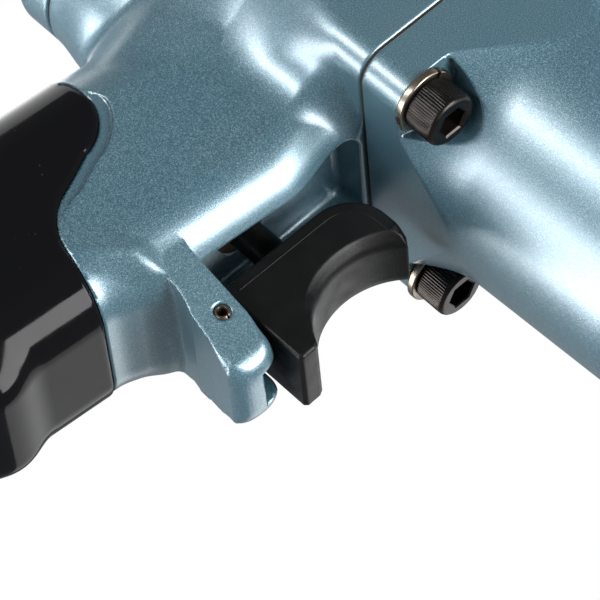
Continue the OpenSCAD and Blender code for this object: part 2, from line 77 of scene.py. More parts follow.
# Hammer case: a square flange with four screws, and a round body
FLANGE_HALF = 30.2
FLANGE_T = 8.5
FLANGE_CORNER = 5.3
SCREW_AT = 25.0
SCREW_WAY = 3.3
WASHER_T = 1.6
CASE_LEN = 76.0
CASE_BORE = 27.2
CASE_WALL_X = 52.8
BUSH_BORE = 13.0

# Motor housing and the back cap behind it, with a lobe below for the reverse valve
HOUSING_LEN = 62.6
GASKET_T = 0.5
CAP_T = 13.0
CAP_X = -(HOUSING_LEN + GASKET_T)
CAP_BACK = CAP_X - CAP_T
MOTOR_BORE = 24.0
HUB_BORE = 14.0
FRONT_WALL = 8.0
# Just under the CAD model's rear radius, so that the mesh stays inside its box
REAR_R = FLANGE_HALF + 0.74
LOBE_R = 17.0
LOBE_DROP = 30.0
VALVE_Z = -36.0
VALVE_BORE = 7.05
VALVE_FRONT = -22.6
CAP_SCREWS = ((19.5, 19.5), (-19.5, 19.5), (12.5, -33.5), (-12.5, -33.5))

# Leaning handle, its grip and the throttle across it
LEAN = math.radians(5)
HANDLE_AT = (-24.0, -60.0)
HANDLE_HALF = (24.0, 18.0)
HANDLE_LEN = 97.0
SLEEVE_END = -90.0
SLEEVE_T = 3.0
STEM_Z = -53.0
RECESS_X = -7.0
RECESS_TOP = -31.2
RECESS_HALF = 10.5

# Trigger, and the guard hook under it with its roll pin
GUARD_TOP = -67.4
PIN_AT = (9.0, -70.6)
PIN_R = 1.5
PIN_BORE_R = 0.85
PIN_HALF = 11.1
SLOT_HALF = 4.7
TRIGGER_BACK = 3.8
TRIGGER_TOP = -37.0
TRIGGER_FOOT = -66.5
TRIGGER_HALF = 7.5
FINGER_AT = (28.9, -48.5)
FINGER_R = 15.3

# ---------------------------------------------------------------------------------------------
# Field functions
# ---------------------------------------------------------------------------------------------


def union_round(a, b, r):
    """Union with a concave fillet of radius r, which may be an array."""
    r = np.maximum(r, 1e-6)
    u = np.maximum(r - a, 0)
    v = np.maximum(r - b, 0)
    return np.maximum(r, np.minimum(a, b)) - np.hypot(u, v)


def common_round(a, b, r):
    """Intersection with a convex round of radius r."""
    return -union_round(-a, -b, r)


def cut_round(a, b, r):
    """a without b, with the new edges rounded to r."""
    return -union_round(-a, b, r)


def slab(v, lo, hi):
    """Negative between lo and hi."""
    return np.maximum(lo - v, v - hi)


def rounded_rect(u, v, half_u, half_v, r):
    """Signed distance to a rectangle with round corners."""
    du = np.abs(u) - (half_u - r)
    dv = np.abs(v) - (half_v - r)
    outside = np.hypot(np.maximum(du, 0), np.maximum(dv, 0))
    return outside + np.minimum(np.maximum(du, dv), 0) - r


def outline(u, v, points):
    """Signed distance to a closed polygon."""
    nearest = np.full(u.shape, np.inf)
    inside = np.zeros(u.shape, bool)
    last = points[-1]
    for point in points:
        eu, ev = point[0] - last[0], point[1] - last[1]
        wu, wv = u - last[0], v - last[1]
        t = np.clip((wu * eu + wv * ev) / (eu * eu + ev * ev), 0, 1)
        nearest = np.minimum(nearest, (wu - t * eu) ** 2 + (wv - t * ev) ** 2)
        if ev:
            crosses = (last[1] > v) != (point[1] > v)
            inside ^= crosses & (wu < wv * eu / ev)
        last = point
    return np.sqrt(nearest) * np.where(inside, -1, 1)


def arc(centre, r, a0, a1, n):
    """Points along an arc from angle a0 to a1, in degrees, with n steps between them."""
    angles = np.radians(np.linspace(a0, a1, n + 1))
    return [(centre[0] + r * math.cos(a), centre[1] + r * math.sin(a)) for a in angles]


def smooth_step(v, lo, hi):
    """Eases from 0 at lo to 1 at hi."""
    t = np.clip((v - lo) / (hi - lo), 0, 1)
    return t * t * (3 - 2 * t)


def handle_local(x, z):
    """Handle frame: its x runs to the front and its z up along the leaning handle."""
    dx, dz = x - HANDLE_AT[0], z - HANDLE_AT[1]
    return (dx * math.cos(LEAN) - dz * math.sin(LEAN),
            dx * math.sin(LEAN) + dz * math.cos(LEAN))


# ---------------------------------------------------------------------------------------------
# Contouring
# ---------------------------------------------------------------------------------------------

# The coarse grid takes every BLOCKth line; FAR stands for any distance away from the surface
BLOCK = 4
FAR = 1e3
# Weight of the crossings' centre against their tangent planes
CENTRE_PULL = 0.04


def steps(*stops):
    """Grid lines along one axis from (position, spacing) stops.
    Each spacing holds up to the next stop; the count is filled up to whole blocks."""
    lines = []
    for (start, step), (end, _) in zip(stops, stops[1:]):
        count = max(1, round((end - start) / step))
        lines += list(np.linspace(start, end, count, endpoint=False))
    lines.append(stops[-1][0])
    spare = -(len(lines) - 1) % BLOCK
    pitch = lines[-1] - lines[-2]
    lines += [lines[-1] + pitch * (i + 1) for i in range(spare)]
    return np.array(lines)


def sampled(field, axes):
    """Field values on the grid. Only blocks near the surface are evaluated."""
    coarse = [a[::BLOCK] for a in axes]
    rough = field(*np.meshgrid(*coarse, indexing="ij"))
    spans = [np.diff(a) for a in coarse]
    reach = np.sqrt(spans[0][:, None, None] ** 2 + spans[1][None, :, None] ** 2
                    + spans[2][None, None, :] ** 2)
    ni, nj, nk = (n - 1 for n in rough.shape)
    corners = np.stack([rough[i:ni + i, j:nj + j, k:nk + k]
                        for i in (0, 1) for j in (0, 1) for k in (0, 1)])
    near = (np.abs(corners).min(0) < 1.1 * reach) | (corners.min(0) * corners.max(0) < 0)
    values = np.sign(corners[0]) * FAR
    for axis in range(3):
        values = np.repeat(values, BLOCK, axis)
    full = np.full([len(a) for a in axes], FAR)
    full[:-1, :-1, :-1] = values
    offset = np.stack(np.meshgrid(*[np.arange(BLOCK + 1)] * 3, indexing="ij"), -1).reshape(-1, 3)
    index = (np.argwhere(near)[:, None, :] * BLOCK + offset[None]).reshape(-1, 3)
    index = np.unique(np.ravel_multi_index(index.T, full.shape))
    i, j, k = np.unravel_index(index, full.shape)
    full.ravel()[index] = field(axes[0][i], axes[1][j], axes[2][k])
    return full


def gradient(field, p, h=0.02):
    """Unit gradients of the field at points p, from differences over h to either side."""
    g = np.empty_like(p)
    for axis in range(3):
        step = np.zeros(3)
        step[axis] = h
        g[:, axis] = field(*(p + step).T) - field(*(p - step).T)
    length = np.linalg.norm(g, axis=1, keepdims=True)
    return g / np.maximum(length, 1e-9)


def edge_crossings(field, axes, values):
    """Points where the surface crosses the grid's edges, and the four cells round each edge,
    in the order in which they make an outward face."""
    shape = values.shape
    inside = values < 0
    points, rings = [], []
    for axis in range(3):
        lower = [slice(None)] * 3
        upper = [slice(None)] * 3
        lower[axis], upper[axis] = slice(0, -1), slice(1, None)
        others = [a for a in range(3) if a != axis]
        index = np.argwhere(inside[tuple(lower)] != inside[tuple(upper)])
        keep = np.all([(index[:, a] > 0) & (index[:, a] < shape[a] - 1) for a in others], 0)
        index = index[keep]
        end = index.copy()
        end[:, axis] += 1
        p0 = np.stack([axes[a][index[:, a]] for a in range(3)], 1)
        p1 = np.stack([axes[a][end[:, a]] for a in range(3)], 1)
        v0, v1 = values[tuple(index.T)], values[tuple(end.T)]
        # Closes in on the surface twice, then takes the crossing of the straight line between
        for _ in range(2):
            t = np.clip(v0 / (v0 - v1), 0.02, 0.98)[:, None]
            p = p0 + t * (p1 - p0)
            v = field(*p.T)
            same = (v < 0) == (v0 < 0)
            p0, v0 = np.where(same[:, None], p, p0), np.where(same, v, v0)
            p1, v1 = np.where(same[:, None], p1, p), np.where(same, v1, v)
        t = np.clip(v0 / np.where(v0 == v1, 1, v0 - v1), 0, 1)[:, None]
        points.append(p0 + t * (p1 - p0))
        ring = []
        for du, dv in ((-1, -1), (0, -1), (0, 0), (-1, 0)):
            cell = index.copy()
            cell[:, others[0]] += du
            cell[:, others[1]] += dv
            ring.append(np.ravel_multi_index(cell.T, shape))
        ring = np.stack(ring, 1)
        flip = inside[tuple(index.T)] != (axis == 1)
        ring[~flip] = ring[~flip][:, ::-1]
        rings.append(ring)
    return np.concatenate(points), np.concatenate(rings)


def meeting_points(points, normals, quads, count):
    """For each cell, the point where the tangent planes at its crossings meet: least squares,
    held towards the centre of the crossings."""
    owner, source = quads.ravel(), np.repeat(np.arange(len(points)), 4)

    def total(weights):
        return np.bincount(owner, weights[source], count)

    hits = np.bincount(owner, minlength=count)
    centre = np.stack([total(points[:, a]) for a in range(3)], 1) / hits[:, None]
    offset = np.einsum("ij,ij->i", normals, points)
    normal_sum = np.empty((count, 3, 3))
    side = np.empty((count, 3))
    for a in range(3):
        side[:, a] = total(normals[:, a] * offset)
        for b in range(3):
            normal_sum[:, a, b] = total(normals[:, a] * normals[:, b])
    side -= np.einsum("iab,ib->ia", normal_sum, centre)
    normal_sum += CENTRE_PULL * hits[:, None, None] * np.eye(3)
    return centre + np.linalg.solve(normal_sum, side[..., None])[..., 0]


def contour(field, xs, ys, zs):
    """Dual contouring: one vertex per crossed cell, and one face per crossed grid edge."""
    axes = (xs, ys, zs)
    values = sampled(field, axes)
    points, rings = edge_crossings(field, axes, values)
    cells, quads = np.unique(rings, return_inverse=True)
    quads = quads.reshape(-1, 4)
    vertices = meeting_points(points, gradient(field, points), quads, len(cells))
    corner = np.stack(np.unravel_index(cells, values.shape), 1)
    low = np.stack([axes[a][corner[:, a]] for a in range(3)], 1)
    high = np.stack([axes[a][corner[:, a] + 1] for a in range(3)], 1)
    return np.clip(vertices, low, high), quads


# ---------------------------------------------------------------------------------------------
# Mesh pieces
# ---------------------------------------------------------------------------------------------


def to_frame(points):
    """From the fields' millimetres to the frame's metres."""
    return np.asarray(points) * MM + np.array([JOINT_X, 0, 0])


def make_object(name, vertices, faces, material, body, replaces):
    """A smooth-shaded piece that rides on a body and stands in for the named CAD nodes."""
    mesh = bpy.data.meshes.new(name)
    mesh.from_pydata([tuple(v) for v in vertices], [], [tuple(f) for f in faces])
    mesh.polygons.foreach_set("use_smooth", np.full(len(mesh.polygons), True))
    mesh.validate()
    mesh.update()
    piece = bpy.data.objects.new(name, mesh)
    bpy.context.scene.collection.objects.link(piece)
    piece.data.materials.append(material)
    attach(piece, body)
    if replaces:
        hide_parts(*replaces)
    return piece


def implicit_piece(name, field, grid, material, body, replaces):
    """A contoured field, shaded with the field's own normals."""
    vertices, quads = contour(field, *grid)
    normals = gradient(field, vertices, 0.1)
    piece = make_object(name, to_frame(vertices), quads.tolist(), material, body, replaces)
    if len(piece.data.vertices) == len(normals):
        piece.data.normals_split_custom_set_from_vertices([tuple(n) for n in normals])
    return piece


# ---------------------------------------------------------------------------------------------
# Castings: motor housing, hammer case and back cap
# ---------------------------------------------------------------------------------------------

SEAM_ROUND = 0.4
# Where the handle's section and its core end, up inside the barrel
HANDLE_TOP = 45
CORE_TOP = 30
# Ends of the bores that run out of a casting
PAST_BACK = -70
PAST_JOINT = 2
PAST_FOOT = -99

# Side outline of everything above the grip's S-shaped top edge, in (x, z)
S_CURVE = (
    [(-90, 60), (-90, -54), (-50, -58.6)] + arc((-36, -70), 10, 84, 10, 16)
    + arc((-11, -70.3), 13, 205, 258, 12) + [(-3.5, -85.0), (12, -87.0), (60, -87.0), (60, 60)])
# Side outline of the guard hook: flat on top, round at the tip, arched underneath into the handle
GUARD_SIDE = (
    [(-60, GUARD_TOP)] + arc((15.4, -72.2), 4.8, 90, -75, 18)
    + [(10.5, -75.4)] + arc((0.2, -87.2), 13.6, 66, 140, 22) + [(-20, -84), (-60, -84)])
# One side of the guard from above, in (x, |y|): it narrows forward to a round tip
GUARD_PLAN = (
    [(-60, -9), (-60, 11), (-14, 11), (-8, 15), (-6.5, 16.4), (9, 11.1)]
    + arc((14.3, 3.5), 5.7, 68, 0, 10) + [(20.0, -9)])

# The housing's band along the grip's edge: how far back from the edge, and how deep
BAND_W = 2.3
BAND_DEPTH = 0.7

# Passages along the handle: offset to the back, radius, lower end and upper end
INLET_BORE = (0, 8.45, PAST_FOOT, -83)
AIR_WAY = (0, 6, -97, -36)
THROTTLE_CHAMBER = (0, 9.5, -38, -7)
RISER = (2, 7, -8, 24)
EXHAUST = (9, 3.25, PAST_FOOT, 30)
EXHAUST_SIDE = 10.9


def rod(u, v, r, along=None, lo=0, hi=0):
    """A round rod about an axis, from its two cross coordinates. It is endless, or cut to
    lo..hi of the coordinate along it."""
    d = np.hypot(u, v) - r
    return d if along is None else np.maximum(d, slab(along, lo, hi))


def handle_section(hx, y, hz, inset):
    """Section of the handle: tighter rounds in front than behind.
    Its front draws back below the guard, and at the top, where it stays behind the joint face."""
    front_round, back_round = 10.0, 17.0
    trim = 1.7 * smooth_step(-hz, 14, 22) + 3.5 * smooth_step(hz, 14, 28)
    r = np.where(hx > 0, front_round, back_round) - inset
    return rounded_rect(hx + trim / 2, y, HANDLE_HALF[0] - trim / 2 - inset,
                        HANDLE_HALF[1] - inset, r)


def barrel_field(x, y, z):
    """Square like the flange in front and nearly round behind; the lobe melts in towards the
    front, and sinks a little near the back cap."""
    back = smooth_step(-x, 6, 46)
    half = FLANGE_HALF + (REAR_R - FLANGE_HALF) * back
    body = rounded_rect(y, z, half, half, FLANGE_CORNER + 24.5 * back)
    rise = smooth_step(x, -46, -12)
    sag = 1.8 * smooth_step(x, -63, -51)
    lobe = np.hypot(y, z + LOBE_DROP + sag - LOBE_R * rise) - LOBE_R
    return union_round(body, lobe, 0.5 + 13.5 * (1 - rise))


def guard_field(x, y, z):
    side = outline(x, z, GUARD_SIDE)
    plan = outline(x, np.abs(y), GUARD_PLAN)
    return common_round(side, plan, 0.35 + 1.6 * smooth_step(x, 11, 16))


def trigger_recess(x, y, z):
    """Space behind the trigger, and the trough in the guard for its foot."""
    middle, half_height = (GUARD_TOP + RECESS_TOP) / 2, (RECESS_TOP - GUARD_TOP) / 2
    room = rounded_rect(y, z - middle, RECESS_HALF, half_height, 2.0)
    room = common_round(room, RECESS_X - x, 1.5)
    trough_floor = -72.6 + 0.9 * smooth_step(x, 12, 19)
    trough_back = 1.5
    sides = np.maximum(np.abs(y) - SLOT_HALF, trough_floor - z)
    trough = np.maximum(sides, np.maximum(z - GUARD_TOP - 3, trough_back - x))
    return room, trough


def housing_bores(x, y, z, hx, hz):
    """Motor and valve bores, screw holes, the stem's way through and the handle's passages."""
    bores = rod(y, z, MOTOR_BORE, x, PAST_BACK, -FRONT_WALL)
    bores = np.minimum(bores, rod(y, z, HUB_BORE, x, -FRONT_WALL - 1, PAST_JOINT))
    bores = np.minimum(bores, rod(y, z - VALVE_Z, VALVE_BORE, x, PAST_BACK, VALVE_FRONT))
    case_screw_hole, cap_screw_hole = 3.05, 2.05
    bores = np.minimum(bores, rod(np.abs(y) - SCREW_AT, np.abs(z) - SCREW_AT, case_screw_hole,
                                  x, -12, PAST_JOINT))
    for sy, sz in CAP_SCREWS:
        bores = np.minimum(bores, rod(y - sy, z - sz, cap_screw_hole, x, PAST_BACK, -48.6))
    bush_bore, stem_way = 5.05, 3.6
    bores = np.minimum(bores, rod(y, z - STEM_Z, bush_bore, x, -16, RECESS_X + 2))
    bores = np.minimum(bores, rod(y, z - STEM_Z, stem_way, x, -24, -14))
    bores = np.minimum(bores, rod(x - PIN_AT[0], z - PIN_AT[1], PIN_R + 0.02))
    for offset, radius, low, high in (INLET_BORE, AIR_WAY, THROTTLE_CHAMBER, RISER):
        bores = np.minimum(bores, rod(hx + offset, y, radius, hz, low, high))
    offset, radius, low, high = EXHAUST
    return np.minimum(bores, rod(hx + offset, np.abs(y) - EXHAUST_SIDE, radius, hz, low, high))


def housing_field(x, y, z):
    hx, hz = handle_local(x, z)
    section = handle_section(hx, y, hz, 0)
    edge = outline(x, z, S_CURVE)
    handle = np.maximum(section, hz - HANDLE_TOP)
    # The handle's fillet into the barrel: small at the joint face and at the back
    fillet = 3.0 + 9.0 * smooth_step(-x, 0, 10) - 7.0 * smooth_step(-x, 38, 49)
    upper = union_round(barrel_field(x, y, z), handle, fillet)
    upper = union_round(upper, guard_field(x, y, z), 0.4 + 4.6 * smooth_step(-z, 71, 76))
    # A shallow band along the grip's edge, fading out towards the back and towards the guard
    band = smooth_step(x, -38, -31) * smooth_step(z, -83, -72)
    upper = common_round(upper, edge + BAND_W * band, 0.35)
    strip = np.maximum(np.maximum(section + BAND_DEPTH * band, edge - 0.1), hz - CORE_TOP)
    core = np.maximum(section + SLEEVE_T + 0.1, slab(hz, -HANDLE_LEN, CORE_TOP))
    foot = common_round(section, slab(hz, -HANDLE_LEN, SLEEVE_END), 0.8)
    solid = np.minimum(np.minimum(upper, strip), np.minimum(core, foot))
    solid = common_round(solid, -HOUSING_LEN - x, SEAM_ROUND)
    # The joint face; below the barrel the guard reaches forward of it
    joint = x + GASKET_T - 30 * smooth_step(-z, 36, 60)
    solid = common_round(solid, joint, SEAM_ROUND)
    room, trough = trigger_recess(x, y, z)
    solid = cut_round(solid, room, 0.6)
    solid = cut_round(solid, trough, 0.35)
    return np.maximum(solid, -housing_bores(x, y, z, hx, hz))


# Turned outline of the hammer case: a slowly falling body, a rounded shoulder and the nose
CASE_STATIONS = (0, 52, 55.5, 58.5, 61.5, 64, 66.3, 68.6, 71, 75.2, 76)
CASE_RADII = (30.7, 29.15, 28.8, 27.8, 25.6, 22.6, 20.2, 18.4, 17.4, 17.0, 16.2)
# Cone that carries the flange's square over into the round body
CONE_R = 30.9
CONE_END = 12.6
# Screw pockets: distance from the axis where they leave the flange, radius, and outward tilt
POCKET_AT = 36.5
POCKET_R = 8.3
POCKET_TILT = math.radians(13)


def hammer_case_field(x, y, z):
    """Body, cone and square flange, with a pocket for each screw head.
    Factors below one keep the values near true distances on sloping walls."""
    radius = np.hypot(y, z)
    body = (radius - np.interp(x, CASE_STATIONS, CASE_RADII)) * 0.97
    cone = (radius - CONE_R - (CONE_END - x)) * 0.7071
    body = union_round(body, np.maximum(cone, x - 30), 6.0)
    past_corners = 46
    flange = np.maximum(radius - past_corners, x - FLANGE_T)
    body = np.minimum(body, flange)
    prism = rounded_rect(y, z, FLANGE_HALF, FLANGE_HALF, FLANGE_CORNER)
    body = common_round(body, prism, 0.18)
    body = common_round(body, slab(x, 0, CASE_LEN), SEAM_ROUND)
    diagonal = (np.abs(y) + np.abs(z)) / math.sqrt(2)
    across = (np.abs(y) - np.abs(z)) / math.sqrt(2)
    centre = POCKET_AT + math.tan(POCKET_TILT) * (x - FLANGE_T)
    pocket = np.hypot((diagonal - centre) * 0.978, across) - POCKET_R
    pocket = common_round(pocket, FLANGE_T - x, 0.7)
    body = cut_round(body, pocket, 0.35)
    bores = rod(y, z, CASE_BORE, x, -2, CASE_WALL_X)
    bores = np.minimum(bores, rod(y, z, BUSH_BORE, x, 50, 90))
    bores = np.minimum(bores, rod(np.abs(y) - SCREW_AT, np.abs(z) - SCREW_AT, SCREW_WAY,
                                  x, -2, FLANGE_T + 1))
    return np.maximum(body, -bores)


def back_cap_field(x, y, z):
    """The barrel's section, drawn in over the last millimetres to a domed back."""
    inward = 5.5 * smooth_step(-x, -CAP_BACK - 6.5, -CAP_BACK + 2)
    body = np.hypot(y, z) - REAR_R + inward
    lobe = np.hypot(y, z + LOBE_DROP) - LOBE_R + inward
    shell = union_round(body, lobe, 14)
    shell = common_round(shell, slab(x, CAP_BACK, CAP_X), 0.5)
    bores = rod(y, z, HUB_BORE, x, CAP_X - 2, CAP_X + 3)
    valve_stem, detent, screw_way, screw_recess = 4.1, 1.65, 2.2, 3.9
    bores = np.minimum(bores, rod(y, z - VALVE_Z, valve_stem))
    bores = np.minimum(bores, rod(y, z - VALVE_Z - 6, detent, x, CAP_BACK - 2, CAP_BACK + 7))
    for sy, sz in CAP_SCREWS:
        bores = np.minimum(bores, rod(y - sy, z - sz, screw_way))
        bores = np.minimum(bores, rod(y - sy, z - sz, screw_recess,
                                      x, CAP_BACK - 9, CAP_BACK + 5))
    return cut_round(shell, bores, 0.3)


# ---------------------------------------------------------------------------------------------
# Mouldings: trigger, grip and reverse lever
# ---------------------------------------------------------------------------------------------

# Side outline of the trigger: straight back, round top corner, finger hollow, square foot
TRIGGER_SIDE = (
    [(TRIGGER_BACK, TRIGGER_FOOT), (TRIGGER_BACK, -45)]
    + arc((TRIGGER_BACK + 8, -45), 8, 180, 90, 14)
    + [(16.6, TRIGGER_TOP), (17.8, TRIGGER_TOP - 0.8)] + arc(FINGER_AT, FINGER_R, 137, 245, 40)
    + [(22.9, -63.2), (23, TRIGGER_FOOT + 0.6), (22.4, TRIGGER_FOOT)])


def trigger_field(x, y, z):
    """The outline's prism with small rounds, wider ones along the finger hollow."""
    side = outline(x, z, TRIGGER_SIDE)
    face = np.hypot(x - FINGER_AT[0], z - FINGER_AT[1]) - FINGER_R
    rim = 0.7 + 2.8 * smooth_step(-face, -3.4, -0.6) * smooth_step(z, -62.5, -56)
    body = common_round(side, np.abs(y) - TRIGGER_HALF, rim)
    body = np.maximum(body, side)
    # Foot that runs in the guard's trough, with a slot that lets it slide over the roll pin
    foot = np.maximum(slab(x, PIN_AT[0] - 3.8, PIN_AT[0] + 5), np.abs(y) - SLOT_HALF + 0.5)
    foot = np.maximum(foot, slab(z, PIN_AT[1] - 2.2, TRIGGER_FOOT + 1))
    body = np.minimum(body, foot)
    slot = rounded_rect(x - PIN_AT[0] - 4.1, z - PIN_AT[1], 6.0, 1.8, 1.75)
    stem_bore = rod(y, z - STEM_Z, 3.0, x, TRIGGER_BACK - 1, TRIGGER_BACK + 5)
    return np.maximum(body, -np.minimum(slot, stem_bore))


# Finger ridges on the grip's front: their heights, and the round that each is part of
RIDGE_LEVELS = (-44.0, -62.0, -80.0)
RIDGE_X = 20.1
RIDGE_R = 4.2
RIDGE_HALF = 9


def grip_field(x, y, z):
    """A sleeve over the handle's core with three finger ridges, cut to the S-shaped edge."""
    hx, hz = handle_local(x, z)
    section = handle_section(hx, y, hz, 0) - 0.35
    ridges = np.zeros_like(x) + 1e3
    for level in RIDGE_LEVELS:
        ridge = np.hypot(hx - RIDGE_X, hz - level) - RIDGE_R
        # Rounded off by 3 mm where it ends on either side
        ridge = np.hypot(np.maximum(ridge, -3) + 3, np.maximum(np.abs(y) - RIDGE_HALF, 0)) - 3
        ridges = np.minimum(ridges, ridge)
    body = union_round(section, ridges, 5.0)
    body = common_round(body, -outline(x, z, S_CURVE) + 0.15, 0.9)
    body = common_round(body, SLEEVE_END - hz, 0.8)
    return np.maximum(body, -handle_section(hx, y, hz, SLEEVE_T))


# Reverse lever: a disc against the cap and a tapering lever upwards
KNOB_FRONT = CAP_BACK - 0.4
KNOB_DISC_R = 9
LEVER_R = 5.2
LEVER_REACH = 10


def knob_field(x, y, z):
    u, v = y, z - VALVE_Z
    disc = np.hypot(u, v) - KNOB_DISC_R
    disc = common_round(disc, slab(x, KNOB_FRONT - 5, KNOB_FRONT), 0.8)
    reach = np.clip(v, 0, LEVER_REACH)
    lever = np.hypot(u * (LEVER_R / (LEVER_R - 0.22 * reach)), v - reach) - LEVER_R
    lever = common_round(lever * 0.85, slab(x, KNOB_FRONT - 11, KNOB_FRONT - 3), 1.4)
    body = union_round(disc, lever, 0.8)
    screw_way, screw_recess, hub = 1.7, 3.2, 4.0
    bores = rod(u, v, screw_way)
    bores = np.minimum(bores, rod(u, v, screw_recess, x, KNOB_FRONT - 14, KNOB_FRONT - 8.8))
    bores = np.minimum(bores, rod(u, v, hub, x, KNOB_FRONT - 5.4, KNOB_FRONT + 3))
    return cut_round(body, bores, 0.2)


# ---------------------------------------------------------------------------------------------
# Materials
# ---------------------------------------------------------------------------------------------


def new_material(name, **inputs):
    material = bpy.data.materials.new(name)
    material.use_nodes = True
    shader = material.node_tree.nodes["Principled BSDF"]
    for key, value in inputs.items():
        shader.inputs[key.replace("_", " ")].default_value = value
    return material, material.node_tree, shader


def add_node(tree, kind, **values):
    node = tree.nodes.new(kind)
    for key, value in values.items():
        if key in node.inputs:
            node.inputs[key].default_value = value
        else:
            setattr(node, key, value)
    return node


def noise(tree, scale, detail=2.0, roughness=0.5, stretch=(1, 1, 1)):
    """A noise texture in object space; scale is in cells per metre."""
    place = add_node(tree, "ShaderNodeTexCoord")
    mapping = add_node(tree, "ShaderNodeMapping")
    mapping.inputs["Scale"].default_value = stretch
    texture = add_node(tree, "ShaderNodeTexNoise", Scale=scale, Detail=detail, Roughness=roughness)
    tree.links.new(place.outputs["Object"], mapping.inputs["Vector"])
    tree.links.new(mapping.outputs["Vector"], texture.inputs["Vector"])
    return texture.outputs["Fac"]


def ramp(tree, source, *stops):
    """A colour ramp fed by source; stops are (position, colour or grey)."""
    node = add_node(tree, "ShaderNodeValToRGB")
    elements = node.color_ramp.elements
    while len(elements) < len(stops):
        elements.new(0.5)
    for element, (position, colour) in zip(elements, stops):
        element.position = position
        element.color = (*colour, 1) if isinstance(colour, tuple) else (colour, colour, colour, 1)
    tree.links.new(source, node.inputs["Fac"])
    return node.outputs["Color"]


def set_colour(tree, shader, colour):
    tree.links.new(colour, shader.inputs["Base Color"])


def set_roughness(tree, shader, source, *stops):
    tree.links.new(ramp(tree, source, *stops), shader.inputs["Roughness"])


def bump(tree, shader, height, strength, distance, below=None):
    """Bumps the shader's normal by height, on top of another bump if below is given."""
    node = add_node(tree, "ShaderNodeBump", Strength=strength, Distance=distance)
    tree.links.new(height, node.inputs["Height"])
    if below is not None:
        tree.links.new(below, node.inputs["Normal"])
    tree.links.new(node.outputs["Normal"], shader.inputs["Normal"])
    return node.outputs["Normal"]


def paint_material():
    """Teal-blue enamel loaded with aluminium flake, over a slightly uneven casting."""
    material, tree, shader = new_material(
        "flake_enamel", Metallic=0.42, Specular_IOR_Level=0.9,
        Coat_Weight=1.0, Coat_IOR=1.7, Coat_Roughness=0.32)
    flake = ramp(tree, noise(tree, 5200, 1.0), (0.30, (0.026, 0.082, 0.112)),
                 (0.52, (0.056, 0.142, 0.188)), (0.74, (0.20, 0.29, 0.335)))
    tone = ramp(tree, noise(tree, 45, 3), (0.35, (0.84, 0.95, 1.0)), (0.65, (1.0, 1.0, 0.97)))
    toned = add_node(tree, "ShaderNodeMix", data_type="RGBA", blend_type="MULTIPLY")
    toned.inputs[0].default_value = 1.0
    tree.links.new(flake, toned.inputs[6])
    tree.links.new(tone, toned.inputs[7])
    set_colour(tree, shader, toned.outputs[2])
    set_roughness(tree, shader, noise(tree, 2600, 1.0), (0.3, 0.31), (0.7, 0.44))
    casting = bump(tree, shader, noise(tree, 260, 3, 0.55), 0.08, 0.0006)
    bump(tree, shader, noise(tree, 4600, 1.0), 0.45, 0.00006, casting)
    return material


def gloss_black_material():
    """Glossy moulded grip: near-black, faint orange peel and a few dust specks."""
    material, tree, shader = new_material("gloss_grip", Specular_IOR_Level=0.11)
    specks = noise(tree, 900, 2, 0.4)
    set_colour(tree, shader, ramp(tree, specks, (0.76, (0.0035, 0.0035, 0.004)), (0.82, 0.03)))
    set_roughness(tree, shader, noise(tree, 160, 4, 0.6), (0.3, 0.07), (0.75, 0.16))
    bump(tree, shader, noise(tree, 140, 2, 0.4), 0.06, 0.0005)
    return material


def matte_black_material(name, colour=0.0025, roughness=0.40):
    """Spark-eroded mould texture on black nylon."""
    material, tree, shader = new_material(name, Specular_IOR_Level=0.22)
    fine = noise(tree, 5200, 2, 0.6)
    set_colour(tree, shader,
               ramp(tree, fine, (0.35, colour * 0.6), (0.6, colour), (0.78, colour * 3.2)))
    set_roughness(tree, shader, noise(tree, 300, 3),
                  (0.3, roughness - 0.06), (0.7, roughness + 0.08))
    bump(tree, shader, fine, 0.5, 0.00008)
    return material


def metal_material(name, colour, tint, roughness=(0.25, 0.4), metallic=1.0, grain=2600):
    """Bare metal with a second tone in soft patches, and a fine grain."""
    material, tree, shader = new_material(name, Metallic=metallic)
    patches = noise(tree, 180, 5, 0.6)
    mix = add_node(tree, "ShaderNodeMix", data_type="RGBA")
    tree.links.new(ramp(tree, patches, (0.42, 0.0), (0.6, 1.0)), mix.inputs[0])
    mix.inputs[6].default_value = (*colour, 1)
    mix.inputs[7].default_value = (*tint, 1)
    set_colour(tree, shader, mix.outputs[2])
    set_roughness(tree, shader, patches, (0.3, roughness[0]), (0.7, roughness[1]))
    bump(tree, shader, noise(tree, grain, 3, 0.6), 0.35, 0.00003)
    return material


def vane_material():
    """Cloth-laminated phenolic: a fine woven fleck under amber resin."""
    material, tree, shader = new_material("phenolic", Roughness=0.45)
    weave = add_node(tree, "ShaderNodeTexBrick", Scale=900.0, Color1=(0.36, 0.19, 0.075, 1),
                     Color2=(0.27, 0.13, 0.05, 1), Mortar=(0.17, 0.08, 0.03, 1))
    place = add_node(tree, "ShaderNodeTexCoord")
    tree.links.new(place.outputs["Object"], weave.inputs["Vector"])
    set_colour(tree, shader, weave.outputs["Color"])
    bump(tree, shader, noise(tree, 1800), 0.3, 0.00005)
    return material


def fibre_material(name, dark, light, scale, depth=0.0001):
    """Pressed fibres, drawn out along z."""
    material, tree, shader = new_material(name, Roughness=0.9)
    fibres = noise(tree, scale, 6, 0.7, (1, 1, 0.35))
    set_colour(tree, shader, ramp(tree, fibres, (0.3, dark), (0.7, light)))
    bump(tree, shader, fibres, 0.7, depth)
    return material


